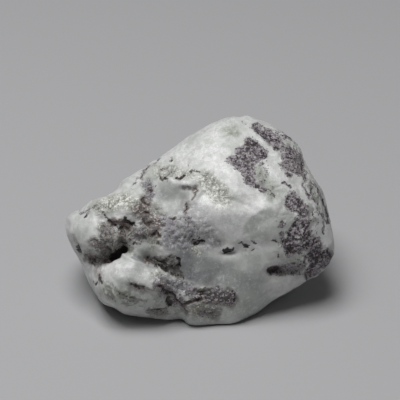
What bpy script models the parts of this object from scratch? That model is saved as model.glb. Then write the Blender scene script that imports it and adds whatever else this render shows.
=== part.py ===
"""Raw larimar: one water-worn lump of pectolite, standing on a small flat spot.

The lump is laid out on a slanted elevation, the view from SLANT above its broad side. On it u runs
to the right, v runs up and w runs towards the viewer, all in millimetres from the middle of the lump.
Headings go round the upright lump: 0 is its broad front, 90 its right end, 180 its back.
"""

import math

import bmesh
import bpy
import numpy as np
from mathutils import Matrix, Vector, noise

MM = 0.001

# --- Driving dimensions, in millimetres and degrees ---
SLANT = 30.0
EDGE_SHARPNESS = 16.0
FLAT_SHARPNESS = 7.0
FLOOR = -11.8
CORNER_ROUNDING = 4.0
SIDE_FADE = 3.0
TRIANGLES = 8000
SPHERE_LEVEL = 7

# The lump's outline on the slanted elevation, (u, v), clockwise from the tip of the nose.
OUTLINE = [
    (-23.8, -0.6), (-22.7, 1.0), (-20.5, 1.9), (-17.5, 3.4), (-15.2, 5.1), (-12.4, 7.5),
    (-9.4, 9.9), (-6.8, 11.4), (-3.3, 13.8), (0.3, 15.9), (2.4, 17.5), (4.8, 18.5),
    (9.2, 19.1), (12.8, 19.3), (16.2, 18.0), (18.5, 13.5), (19.7, 9.0), (21.4, 5.4),
    (23.1, -0.3), (23.8, -3.6), (24.5, -7.4), (25.2, -10.9), (18.9, -12.9), (14.2, -15.0),
    (10.4, -17.6), (5.4, -19.1), (-0.8, -18.9), (-3.1, -17.7), (-8.7, -17.4), (-11.9, -16.4),
    (-14.4, -15.2), (-19.0, -12.2), (-21.0, -8.4), (-21.6, -5.9), (-23.0, -3.2),
]

# Its outline seen from above, (x, y), clockwise from the tip of the nose.
PLAN = [
    (-26.0, 4.5), (-23.5, 10.0), (-15.0, 15.0), (-5.0, 17.5), (7.0, 17.5), (16.0, 14.0),
    (23.5, 7.0), (26.0, -2.0), (24.8, -7.5), (19.0, -13.0), (9.5, -18.2), (3.0, -18.6),
    (-5.2, -17.4), (-13.5, -16.0), (-18.3, -12.3), (-21.8, -8.2), (-24.3, -4.5), (-25.5, 0.0),
]

# Broad flats worn on the lump: (name, heading, rise of the normal, distance from the middle).
FLATS = [
    ("top slope", -40, 58, 14.9),
    ("crown", 40, 78, 21.5),
    ("right flank", 58, 44, 21.3),
    ("front high", 6, 36, 16.9),
    ("front", 3, 12, 15.4),
    ("front low", 10, -14, 18.3),
    ("front low right", 38, -22, 23.0),
    ("back high", 172, 38, 19.2),
    ("back left high", 228, 36, 15.4),
    ("back right high", 120, 35, 23.0),
    ("back low", 195, -14, 18.0),
    ("under right", 105, -64, 16.6),
    ("under right back", 122, -58, 14.2),
    ("under left back", 235, -58, 15.4),
    ("under back", 178, -50, 13.2),
]

# Swells (up) and hollows (down) on the broad front: (name, path over (u, v), half width, lift).
FRONT_RELIEF = [
    ("left foot", [(-13.0, -11.4), (-6.5, -11.2)], 4.2, 1.8),
    ("left foot crest", [(-13.0, -8.8), (-8.0, -8.6), (-4.5, -10.0)], 1.5, 0.5),
    ("nose", [(-19.5, -1.2)], 3.8, 0.6),
    ("brow", [(-17.6, 2.6), (-10.4, 1.8)], 1.7, 0.8),
    ("belly", [(2.0, 0.6), (10.5, 1.6)], 3.8, 0.6),
    ("right lobe", [(18.4, 2.0), (18.8, -4.0)], 4.4, 0.9),
    ("bottom knob", [(-1.0, -15.4), (5.5, -15.4)], 3.2, 1.0),
    ("basin lip", [(-6.6, 7.8), (-3.4, 6.6), (-0.6, 6.2)], 1.1, 0.6),
    ("waist at the cave", [(-18.2, -6.8), (-13.8, -5.4)], 1.9, -1.9),
    ("waist saddle", [(-12.0, -5.4), (-9.6, -6.0)], 1.9, -0.9),
    ("waist at the foot", [(-8.4, -6.9), (-4.0, -8.8), (-3.0, -10.4)], 1.8, -1.6),
    ("basin", [(-6.4, 3.4), (-4.0, 3.8)], 2.6, -1.1),
    ("crease", [(-1.6, -3.6), (4.9, -5.0), (9.0, -4.1), (14.4, -3.2), (16.2, -0.9)], 1.2, -0.35),
    ("foot notch", [(-2.8, -18.5), (-4.9, -14.2), (-6.1, -12.5)], 1.2, -1.0),
    ("right dent", [(12.6, -8.9), (18.5, -9.3)], 1.1, -0.8),
    ("crown gully", [(-9.2, 9.8), (-11.0, 7.4)], 0.9, -0.6),
    ("under the brow", [(-15.5, -2.6), (-10.5, -3.0)], 1.8, -0.4),
]

# Pits eaten into the broad front: (name, path over (u, v), half width, depth).
FRONT_PITS = [
    ("brow crescent", [(-16.4, 0.4), (-15.2, -0.8), (-13.6, -1.3), (-12.0, -0.5)], 0.6, 1.1),
    ("cave", [(-16.4, -6.4), (-15.0, -5.9), (-13.6, -5.2)], 1.1, 2.4),
    ("waist pit", [(-8.6, -6.9), (-6.2, -7.8), (-4.2, -9.2)], 1.1, 1.3),
    ("middle pit", [(-0.4, -3.3), (0.5, -3.2)], 0.8, 1.2),
    ("slit", [(4.2, -5.5), (6.0, -5.2)], 0.45, 1.3),
    ("basin pit", [(-3.8, 7.5)], 0.55, 0.7),
]

# Swells and hollows on the back: (name, path over (x, z), half width, lift).
BACK_RELIEF = [
    ("back knob", [(6.0, 8.5), (10.5, 4.0)], 4.6, 1.3),
    ("back shelf", [(-14.0, -1.0), (-5.0, -4.5)], 3.2, 1.2),
    ("back valley", [(-9.0, 5.5), (-3.0, 1.0), (0.5, -4.5)], 2.2, -1.3),
    ("back dent", [(12.5, -3.5), (16.5, -1.5)], 2.2, -1.1),
]

# Unevenness all over: (size of the lumps, height, seed).
UNEVENNESS = [
    (11.0, 0.75, 3.7),
    (4.6, 0.36, 11.2),
    (2.2, 0.14, 27.9),
]


def to_drawing(points):
    """Upright points x, y, z as (u, v, w) of the slanted elevation."""
    sine, cosine = math.sin(math.radians(SLANT)), math.cos(math.radians(SLANT))
    x, y, z = points.T
    return np.stack([x, y * sine + z * cosine, z * sine - y * cosine], axis=1)


def normal_of(heading, rise):
    """The upright unit vector that faces a heading and rises above the level by an angle."""
    h, r = math.radians(heading), math.radians(rise)
    return np.array([math.sin(h) * math.cos(r), -math.cos(h) * math.cos(r), math.sin(r)])


def reach_of(outline, across, up):
    """How far a closed outline, its corners rounded, lies from the middle towards (across, up)."""
    points = np.array(outline)
    at = np.degrees(np.arctan2(points[:, 1], points[:, 0]))
    every = np.arange(-180, 180)
    reach = np.interp(every, at, np.hypot(*points.T), period=360)
    near = (every[:, None] - every + 180) % 360 - 180
    weight = np.exp(-(near / CORNER_ROUNDING) ** 2)
    rounded = weight @ reach / weight.sum(axis=1)
    return np.interp(np.degrees(np.arctan2(up, across)), every, rounded, period=360)


def body_reach(directions):
    """How far the body's surface lies from the middle along each upright unit direction."""
    x, y, _ = directions.T
    u, v, _ = to_drawing(directions).T
    flat_sum = 0
    for _, heading, rise, distance in FLATS:
        facing = np.maximum(directions @ normal_of(heading, rise), 0)
        flat_sum = flat_sum + (facing / distance) ** FLAT_SHARPNESS
    crowding = flat_sum ** (EDGE_SHARPNESS / FLAT_SHARPNESS)
    crowding += (np.hypot(u, v) / reach_of(OUTLINE, u, v)) ** EDGE_SHARPNESS
    crowding += (np.hypot(x, y) / reach_of(PLAN, x, y)) ** EDGE_SHARPNESS
    return crowding ** (-1 / EDGE_SHARPNESS)


def distance_to(points, path):
    """How far each flat point lies from a path of straight runs."""
    nearest = np.full(len(points), np.inf)
    for start, end in zip(path, path[1:] or path):
        run = np.subtract(end, start)
        along = np.clip((points - start) @ run / max(run @ run, 1e-9), 0, 1)
        nearest = np.minimum(nearest, np.hypot(*(points - start - along[:, None] * run).T))
    return nearest


def relief(points, table):
    """Lift of soft swells and hollows over flat points."""
    lift = np.zeros(len(points))
    for _, path, half_width, height in table:
        lift += height * np.exp(-(distance_to(points, path) / half_width) ** 2)
    return lift


def pits(points, table):
    """Depth of steep-walled pits over flat points."""
    depth = np.zeros(len(points))
    for _, path, half_width, deepest in table:
        depth = np.maximum(depth, deepest / (1 + (distance_to(points, path) / half_width) ** 4))
    return depth


def unevenness(points):
    """Lift of rounded lumps of every size, at upright points."""
    lift = np.zeros(len(points))
    for size, height, seed in UNEVENNESS:
        shift = Vector((seed, -seed, 2 * seed))
        lift += height * np.array([noise.noise(Vector(p) / size + shift) for p in points])
    return lift


def lift_of(points):
    """How far the surface is lifted along its normal, at upright points on the body."""
    u, v, w = to_drawing(points).T
    x, y, z = points.T
    front = np.clip(w / SIDE_FADE + 0.5, 0, 1)
    back = np.clip(y / SIDE_FADE, 0, 1) * (1 - front)
    drawn, behind = np.stack([u, v], axis=1), np.stack([x, z], axis=1)
    lift = front * (relief(drawn, FRONT_RELIEF) - pits(drawn, FRONT_PITS))
    return lift + back * relief(behind, BACK_RELIEF) + unevenness(points)


def full_lump():
    """The lump at full fineness, in metres, with its rest spot cut level at height 0."""
    bm = bmesh.new()
    bmesh.ops.create_icosphere(bm, subdivisions=SPHERE_LEVEL, radius=1)
    directions = np.array([vert.co for vert in bm.verts])
    body = directions * body_reach(directions)[:, None]
    for vert, point in zip(bm.verts, body):
        vert.co = point
    bm.normal_update()
    normals = np.array([vert.normal for vert in bm.verts])
    surface = body + normals * lift_of(body)[:, None]
    surface[:, 2] = np.maximum(surface[:, 2] - FLOOR, 0)
    for vert, point in zip(bm.verts, surface * MM):
        vert.co = point
    mesh = bpy.data.meshes.new("full lump")
    bm.to_mesh(mesh)
    bm.free()
    return mesh


def thinned(mesh):
    """The same lump in about TRIANGLES faces, centred over the origin."""
    scene = bpy.context.scene
    full = bpy.data.objects.new("full lump", mesh)
    scene.collection.objects.link(full)
    thin = full.modifiers.new("Decimate", "DECIMATE")
    thin.ratio = TRIANGLES / len(mesh.polygons)
    depsgraph = bpy.context.evaluated_depsgraph_get()
    lump = bpy.data.meshes.new_from_object(full.evaluated_get(depsgraph))
    bpy.data.objects.remove(full)
    points = np.array([vert.co for vert in lump.vertices])
    middle = (points.min(axis=0) + points.max(axis=0)) / 2
    lump.transform(Matrix.Translation((-middle[0], -middle[1], 0)))
    lump.shade_smooth()
    return lump


def pectolite():
    """Chalky grey-green white, dull where it is worn and a little waxy."""
    material = bpy.data.materials.new("pectolite")
    material.use_nodes = True
    shader = material.node_tree.nodes["Principled BSDF"]
    shader.inputs["Base Color"].default_value = (0.56, 0.58, 0.57, 1)
    shader.inputs["Roughness"].default_value = 0.55
    shader.inputs["Metallic"].default_value = 0
    return material


def main():
    for obj in list(bpy.data.objects):
        bpy.data.objects.remove(obj)
    lump = thinned(full_lump())
    lump.materials.append(pectolite())
    stone = bpy.data.objects.new("larimar", lump)
    bpy.context.scene.collection.objects.link(stone)


main()
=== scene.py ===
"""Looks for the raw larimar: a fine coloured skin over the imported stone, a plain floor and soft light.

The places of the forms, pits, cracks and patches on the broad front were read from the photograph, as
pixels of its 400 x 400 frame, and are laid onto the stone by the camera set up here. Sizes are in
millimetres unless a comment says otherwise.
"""

import math

import bpy
import numpy as np
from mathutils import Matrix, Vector, noise


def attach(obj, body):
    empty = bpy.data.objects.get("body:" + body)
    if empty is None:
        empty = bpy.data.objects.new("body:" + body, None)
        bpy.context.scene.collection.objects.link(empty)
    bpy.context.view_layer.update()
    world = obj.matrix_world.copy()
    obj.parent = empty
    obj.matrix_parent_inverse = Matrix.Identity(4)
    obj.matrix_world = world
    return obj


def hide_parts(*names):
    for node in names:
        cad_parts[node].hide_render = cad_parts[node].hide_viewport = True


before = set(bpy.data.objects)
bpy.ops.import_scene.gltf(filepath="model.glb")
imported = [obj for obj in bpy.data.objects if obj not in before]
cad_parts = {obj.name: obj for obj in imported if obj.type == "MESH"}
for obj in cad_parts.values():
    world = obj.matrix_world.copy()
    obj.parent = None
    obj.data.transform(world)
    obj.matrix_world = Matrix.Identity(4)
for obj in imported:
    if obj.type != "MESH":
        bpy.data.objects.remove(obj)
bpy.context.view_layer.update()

MM = 0.001

# --- The photograph's view ---
FRAME_PIXELS = 400
LENS = 150.0
SENSOR = 36.0
VIEW_RISE = 30.0
VIEW_DISTANCE = 297.0
AIM = (-0.1, 0.7, 11.8)
AIM_PIXEL = (199.25, 220.0)

# --- The skin's fineness ---
VOXEL = 0.265
SMOOTHING_ROUNDS = 15
SMOOTH_SHARE = 0.5

# --- The foot's rim, in millimetres ---
FOOT_MIDDLE = (-3.0, -5.0)
FOOT_REACH = (13.5, 10.7)
RIM_CLEARANCE = 0.3
CORNER_CLEARANCE = 1.0
# The rim lifts from this share of the reach. The front left corner lifts more, from the first of each pair of
# places to the second.
RIM_START = 0.72
CORNER_ACROSS = (-3.0, -6.5)
CORNER_ALONG = (-5.0, -9.0)

# --- Seeded noise: how far a seed shifts it along each axis, and how much finer each octave is ---
ROUGH_STEPS = (1.7, -2.3, 3.1)
CRAG_STEPS = (2.9, 1.3, -1.9)
LACUNARITY = 2.1

# --- The skin's fine relief, in millimetres ---
SWELL_SIZE = 3.4
SWELL_LIFT = 0.14
KNOB_SIZE = 1.1
KNOB_LIFT = 0.45
GRAIN_SIZE = 0.6
GRAIN_LIFT = 0.08
ROCK_SINK = 0.06
# The knob value, from 0 in the creases to about 1 on the knobs, at which the surface stays where it is.
KNOB_LEVEL = 0.45
# A pit's depth in the creases between knobs, as a share of what is stated. On a knob it is up to 1 more.
CREASED_PIT_SHARE = 0.6
PIT_STEEPNESS = 4

# --- How coarse the surface is: 0 smooth, 1 with knobs and grain at their full height ---
BODY_COARSENESS = 0.3
ROCK_COARSENESS = 0.5
LEAST_COARSENESS = 0.05

# --- How softly drawn shapes end ---
# On each side of the outline, in pixels.
PATCH_EDGE = 2.5
STREAK_EDGE = 1.4
CRYSTAL_EDGE = 0.8
# In half widths from the path: where it is gone, and where it is whole.
ZONE_FADE = (1.5, 0.4)
DARK_FADE = (1.6, 0.6)
# In degrees, for patches on the unseen sides, and the size in millimetres of their raggedness.
UNSEEN_EDGE = 3
UNSEEN_RAGGED = 8
UNSEEN_RAG_SIZE = 3.0

# How drawn edges are made ragged: (size of the shake in mm, its reach in pixels, seed).
WIDE_SHAKES = [(2.2, 3.0, 5), (0.8, 2.0, 9)]
EDGE_SHAKES = [(1.8, 1.6, 15), (0.7, 1.6, 19)]
PIT_SHAKES = [(1.1, 1.9, 25), (0.5, 1.3, 29)]
# What is added to a shake's seed for its downward part.
DOWNWARD_SEED = 20

# Where the front's forms and its marks fade out and are whole, as how squarely the surface faces the view.
FORMS_FADE = (-0.3, 0.0)
MARKS_FADE = (-0.06, 0.12)

# --- The material's patterns, bumps and inner light: sizes in millimetres ---
CLOUD_SIZE = 3.2
COARSE_GRAIN_SIZE = 0.6
FINE_GRAIN_SIZE = 0.28
BLOCK_SIZE = 0.45
MOTTLE_SIZE = 1.5
ROCK_GRAIN_SIZE = 0.36
BUMP_HEIGHT = 0.35
LIGHT_REACH = 0.4

# --- What the grain is made of, and how far it breaks up an edge ---
COARSE_SHARE = 0.45
FINE_SHARE = 0.55
BLOCK_CONTRAST = 0.16
KNOB_SHADE = 0.07
KNOB_RANGE = (0.0, 0.9)
GRAIN_RANGE = (0.42, 0.58)
EDGE_BREAK = 0.3
PIT_RAGGED = 0.7

# --- Between which values each layer of the material comes in, and how strong it gets ---
DARK_TO_MIDDLE = (0.42, 0.48)
MIDDLE_TO_LIGHT = (0.52, 0.58)
CLOUD_RANGE = (0.38, 0.62)
MOTTLE_RANGE = (0.48, 0.62)
FAINTEST_MOTTLE = 0.12
STRONGEST_MOTTLE = 0.75
# Glints are painted sparkle highlights, and partly pale specks in the grain.
GLINT_RANGE = (0.59, 0.67)
GLINT_STRENGTH = 0.6
HALO_RANGE = (0.35, 0.80)
HALO_STRENGTH = 0.7
ROCK_RANGE = (0.42, 0.54)
ROCK_RIM_RANGE = (0.52, 0.66)
ROCK_RIM_STRENGTH = 0.7
CORE_RANGE = (0.78, 1.15)
CORE_SHADE = (0.035, -0.08)
# Hairline cracks, and painted shade that darkens the creases between knobs.
HAIRLINE = 0.018
CREASE_RANGE = (0.20, 0.05)
CRACK_AND_CREASE_SHADE_RANGE = (0.25, 0.9)
CRACK_AND_CREASE_SHADE_STRENGTH = 0.75
# The pits' stain and near-black are partly painted shade in the hollows and recesses.
STAIN_AND_SHADE_RANGE = (0.20, 0.50)
STAIN_AND_SHADE_STRENGTH = 0.85
DIRT_AND_SHADE_RANGE = (0.50, 0.90)
DULL_RANGE = (0.1, 0.9)
ROUGHNESS = (0.40, 0.75)
TRANSLUCENCE = 0.10

# --- The floor, lights and camera: lengths in metres, the lamp's power in watts ---
FLOOR_HALF = 1.5
LAMP_SIZE = 0.34
LAMP_PLACE = (-0.11, -0.08, 0.6)
LAMP_POWER = 3.4
SURROUND_STRENGTH = 0.08
NEAREST_SEEN = 0.01

# Swells (up) and hollows (down): (name, path in photograph pixels, half width in pixels, lift in mm).
RELIEF = [
    ("brow", [(100, 205), (120, 206), (140, 211)], 6, 0.35),
    ("nose crease", [(74, 214), (86, 208), (97, 204)], 2.5, -0.25),
    ("nose crease low", [(72, 238), (77, 247), (80, 255)], 2.2, -0.45),
    ("lip", [(165, 177), (178, 183), (195, 185)], 4, 0.25),
    ("basin", [(165, 200), (176, 199)], 10, -0.5),
    ("basin edge", [(184, 206), (194, 200), (200, 192)], 3, 0.3),
    ("basin recess", [(180, 189), (196, 190)], 2.5, -0.15),
    ("gully", [(147, 181), (149, 192), (147, 203)], 4, -0.5),
    ("belly fold", [(212, 208), (235, 214), (262, 210), (275, 206)], 7, 0.3),
    ("belly step", [(262, 210), (251, 216), (244, 225), (243, 234)], 1.8, 0.08),
    ("belly hollow", [(262, 222), (256, 234)], 7, -0.2),
    ("shoulder step", [(232, 200), (250, 208), (262, 214)], 3, -0.2),
    ("crown groove", [(262, 160), (280, 178), (292, 192)], 4, 0.25),
    ("crown ridge", [(255, 135), (268, 146), (278, 155)], 2.5, 0.2),
    ("right swell", [(296, 202), (302, 210)], 5, 0.2),
    ("right band", [(269, 271), (285, 270), (303, 272)], 4, -0.35),
    ("crescent recess", [(112, 222), (120, 225), (129, 225)], 3.5, -0.2),
    ("cave floor", [(104, 259), (112, 258), (119, 255)], 3, -0.5),
    ("cave tooth", [(108, 247), (112, 249)], 2.5, 0.6),
    ("rubble knob left", [(108, 238), (113, 243)], 3.5, 0.55),
    ("rubble knob middle", [(128, 237), (130, 245)], 3.5, 0.55),
    ("rubble knob right", [(138, 232), (147, 234)], 4.5, 0.4),
    ("rubble stem", [(122, 230), (123, 237), (122, 245)], 2.5, -0.3),
    ("rubble slab", [(142, 250), (152, 250)], 5, 0.2),
    ("waist crest", [(122, 255), (140, 265), (155, 272), (165, 280), (180, 282)], 2.5, 0.45),
    ("waist band", [(135, 257), (143, 261), (152, 268)], 2.5, -0.3),
    ("waist rubble", [(170, 262), (173, 268)], 3, 0.5),
    ("waist ridge", [(181, 261), (181, 269)], 1.5, 0.4),
    ("foot ridge", [(118, 266), (140, 268), (165, 276)], 5, 0.3),
    ("foot side notch", [(184, 318), (176, 305), (168, 293)], 3.5, -0.5),
    ("foot facet", [(112, 280), (134, 292), (156, 296)], 5, -0.18),
    ("foot rim", [(112, 311), (130, 317), (150, 320), (170, 321)], 7, -0.7),
    ("foot rim left", [(90, 292), (100, 303)], 7, -0.15),
    ("nose corner", [(70, 219), (75, 213)], 4, 0.3),
    ("foot swell", [(100, 288), (110, 297), (124, 304)], 6, 0.15),
    ("knob swell", [(210, 298), (224, 300)], 7, 0.25),
    ("slit filling", [(223, 251), (232, 249)], 4, 0.6),
    ("waist filling", [(152, 258), (162, 262)], 5, 0.8),
    ("slope filling", [(126, 184), (140, 176), (152, 168)], 6, 0.5),
    ("peak", [(246, 118), (252, 117)], 4, 0.4),
    ("right shoulder", [(254, 120), (268, 126), (283, 137), (296, 152)], 8, 0.65),
    ("top left shoulder", [(214, 127), (228, 120), (242, 117)], 6, 0.3),
    ("middle pit filling", [(196, 238), (202, 237)], 3, 0.3),
]

# Pits and cracks eaten into the front: (name, path in pixels, half width in pixels, depth in mm, darkness).
# The darkness is partly painted shade, in the deep hollows and the shallow recesses.
PITS = [
    ("crescent top", [(104, 212), (106, 217), (109, 222)], 0.8, 0.2, 0.7),
    ("crescent", [(109, 222), (113, 226), (118, 229), (129, 228)], 1.2, 0.2, 0.8),
    ("crescent recess", [(113, 222), (121, 224), (129, 226)], 2.2, 0.1, 0.26),
    ("brow pit", [(125, 219), (126, 222), (132, 224)], 1.8, 0.3, 0.9),
    ("rubble stem", [(122, 231), (123, 237), (121, 244)], 1.6, 0.3, 0.42),
    ("rubble hole left", [(105, 232), (106, 234)], 1.3, 0.3, 0.6),
    ("rubble hole", [(111, 232), (113, 235)], 1.3, 0.3, 0.6),
    ("rubble hole low", [(107, 247), (110, 249)], 1.6, 0.4, 0.9),
    ("rubble hole right", [(126, 243), (123, 245)], 1.3, 0.3, 0.8),
    ("rubble hole far", [(134, 245)], 1.1, 0.2, 0.5),
    ("olive hole", [(133, 236)], 1.3, 0.2, 0.5),
    ("olive hollow", [(153, 235), (157, 232), (159, 236)], 1.9, 0.4, 0.6),
    ("lilac foot", [(158, 243), (162, 246)], 1.5, 0.3, 0.6),
    ("cave", [(112, 257), (118, 254), (125, 250)], 3.0, 0.2, 1.0),
    ("cave left", [(102, 258), (108, 256)], 3.0, 0.1, 0.22),
    ("cave foot", [(104, 261), (111, 261)], 1.5, 0.2, 0.55),
    ("left holes", [(89, 259), (93, 261), (96, 259)], 1.4, 0.2, 0.6),
    ("left holes foot", [(92, 263), (99, 266)], 0.9, 0.2, 0.4),
    ("nose stain", [(94, 241), (98, 242)], 1.5, 0.2, 0.3),
    ("nose crack", [(76, 247), (79, 253)], 1.1, 0.4, 0.9),
    ("nose dark", [(73, 240), (75, 245)], 1.6, 0.2, 0.22),
    ("nose line", [(81, 250), (88, 249), (96, 250)], 0.6, 0.1, 0.2),
    ("waist pit", [(147, 258), (151, 262)], 1.6, 0.2, 0.38),
    ("waist pit middle", [(154, 265), (159, 267)], 1.9, 0.2, 0.5),
    ("waist pit low", [(162, 267), (166, 271)], 1.8, 0.2, 0.8),
    ("waist arch", [(165, 260), (168, 257), (176, 257)], 1.4, 0.2, 0.35),
    ("waist wall", [(178, 259), (179, 265)], 1.7, 0.6, 1.0),
    ("waist rubble", [(172, 265), (174, 269)], 1.2, 0.3, 0.6),
    ("waist foot", [(170, 273), (176, 275), (183, 278)], 1.5, 0.2, 0.5),
    ("middle pit", [(193, 239), (197, 241), (204, 240)], 1.0, 0.1, 0.9),
    ("middle pit stem", [(199, 235), (199, 239)], 1.0, 0.1, 0.5),
    ("middle pit foot", [(195, 244), (198, 243)], 0.9, 0.2, 0.9),
    ("middle pit side", [(205, 234), (207, 237)], 1.0, 0.2, 0.6),
    ("slit", [(223, 251), (229, 250)], 1.8, 0.1, 1.3),
    ("slit middle", [(227, 248), (231, 249)], 1.3, 0.1, 1.3),
    ("slit tip", [(231, 249), (234, 248)], 0.9, 0.1, 1.2),
    ("slit speck", [(243, 244), (248, 246)], 1.1, 0.2, 0.95),
    ("slit speck left", [(239, 243), (242, 242)], 1.0, 0.1, 0.85),
    ("slit speck right", [(253, 241), (256, 243)], 1.0, 0.1, 0.85),
    ("slit speck middle", [(246, 250)], 0.9, 0.1, 0.8),
    ("slit speck far", [(253, 246)], 0.8, 0.1, 0.8),
    ("slit speck low", [(251, 253), (253, 250)], 0.9, 0.1, 0.9),
    ("basin pit", [(176, 179), (180, 180), (184, 176)], 1.1, 0.2, 0.9),
    ("basin speck", [(160, 178), (162, 180)], 1.2, 0.3, 0.8),
    ("basin speck right", [(165, 178), (167, 180)], 1.0, 0.3, 0.7),
    ("basin recess", [(182, 188), (189, 189)], 1.6, 0.2, 0.3),
    ("scratch top", [(188, 163), (189, 166)], 0.7, 0.1, 0.5),
    ("scratch", [(191, 173), (193, 170), (199, 172)], 0.9, 0.2, 0.6),
    ("scratch left", [(160, 170), (168, 167)], 0.7, 0.1, 0.4),
    ("cream speck", [(205, 177)], 1.1, 0.2, 0.6),
    ("cream speck low", [(206, 193)], 1.1, 0.2, 0.45),
    ("knot specks", [(148, 186), (150, 190)], 1.4, 0.2, 0.7),
    ("knot foot", [(142, 199), (148, 202)], 1.7, 0.3, 0.7),
    ("rust hole", [(145, 212), (149, 213)], 1.2, 0.3, 0.7),
    ("rust hollow", [(143, 220), (147, 224), (152, 223)], 1.7, 0.3, 0.7),
    ("brown line", [(196, 192), (193, 200)], 0.7, 0.1, 0.45),
    ("brown line low", [(186, 204), (185, 208), (183, 212)], 1.1, 0.15, 0.6),
    ("lilac speck", [(171, 217), (175, 217)], 1.5, 0.2, 0.7),
    ("lilac blotch", [(184, 217), (188, 220), (188, 226)], 1.1, 0.2, 0.5),
    ("patch eye", [(248, 142), (249, 144)], 1.8, 0.2, 0.7),
    ("black spot", [(289, 250), (292, 253)], 1.8, 0.2, 0.6),
    ("blob satellite", [(274, 241), (279, 242), (278, 245)], 0.9, 0.1, 0.6),
    ("right fleck", [(278, 254), (278, 257)], 0.8, 0.1, 0.8),
    ("band hole", [(270, 272), (279, 271)], 1.6, 0.3, 0.7),
    ("notch crack", [(160, 286), (165, 291), (170, 295), (174, 297)], 1.4, 0.4, 0.7),
    ("foot crack", [(168, 301), (170, 305)], 1.8, 0.4, 0.9),
    ("foot crack middle", [(175, 300), (180, 306)], 1.6, 0.4, 0.9),
    ("foot crack right", [(185, 305), (190, 302), (199, 300)], 1.7, 0.3, 0.9),
    ("foot crack down", [(183, 308), (185, 314)], 1.1, 0.3, 0.4),
    ("bottom fleck", [(195, 290), (199, 293)], 0.9, 0.1, 0.6),
    ("bottom fleck left", [(187, 293), (189, 296)], 1.0, 0.1, 0.6),
    ("star pit", [(99, 274), (100, 280), (102, 283)], 1.0, 0.2, 0.8),
    ("star pit arm", [(95, 283), (97, 282)], 1.3, 0.2, 0.8),
    ("foot smear", [(131, 284), (136, 285)], 1.6, 0.15, 0.8),
    ("foot smear right", [(136, 287), (144, 288)], 1.3, 0.1, 0.6),
    ("foot line", [(119, 293), (126, 296), (134, 299)], 1.1, 0.15, 0.55),
    ("foot edge line", [(152, 310), (163, 309), (170, 308)], 0.9, 0.2, 0.6),
    ("foot tick", [(111, 273), (110, 276)], 0.8, 0.1, 0.35),
]

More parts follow.
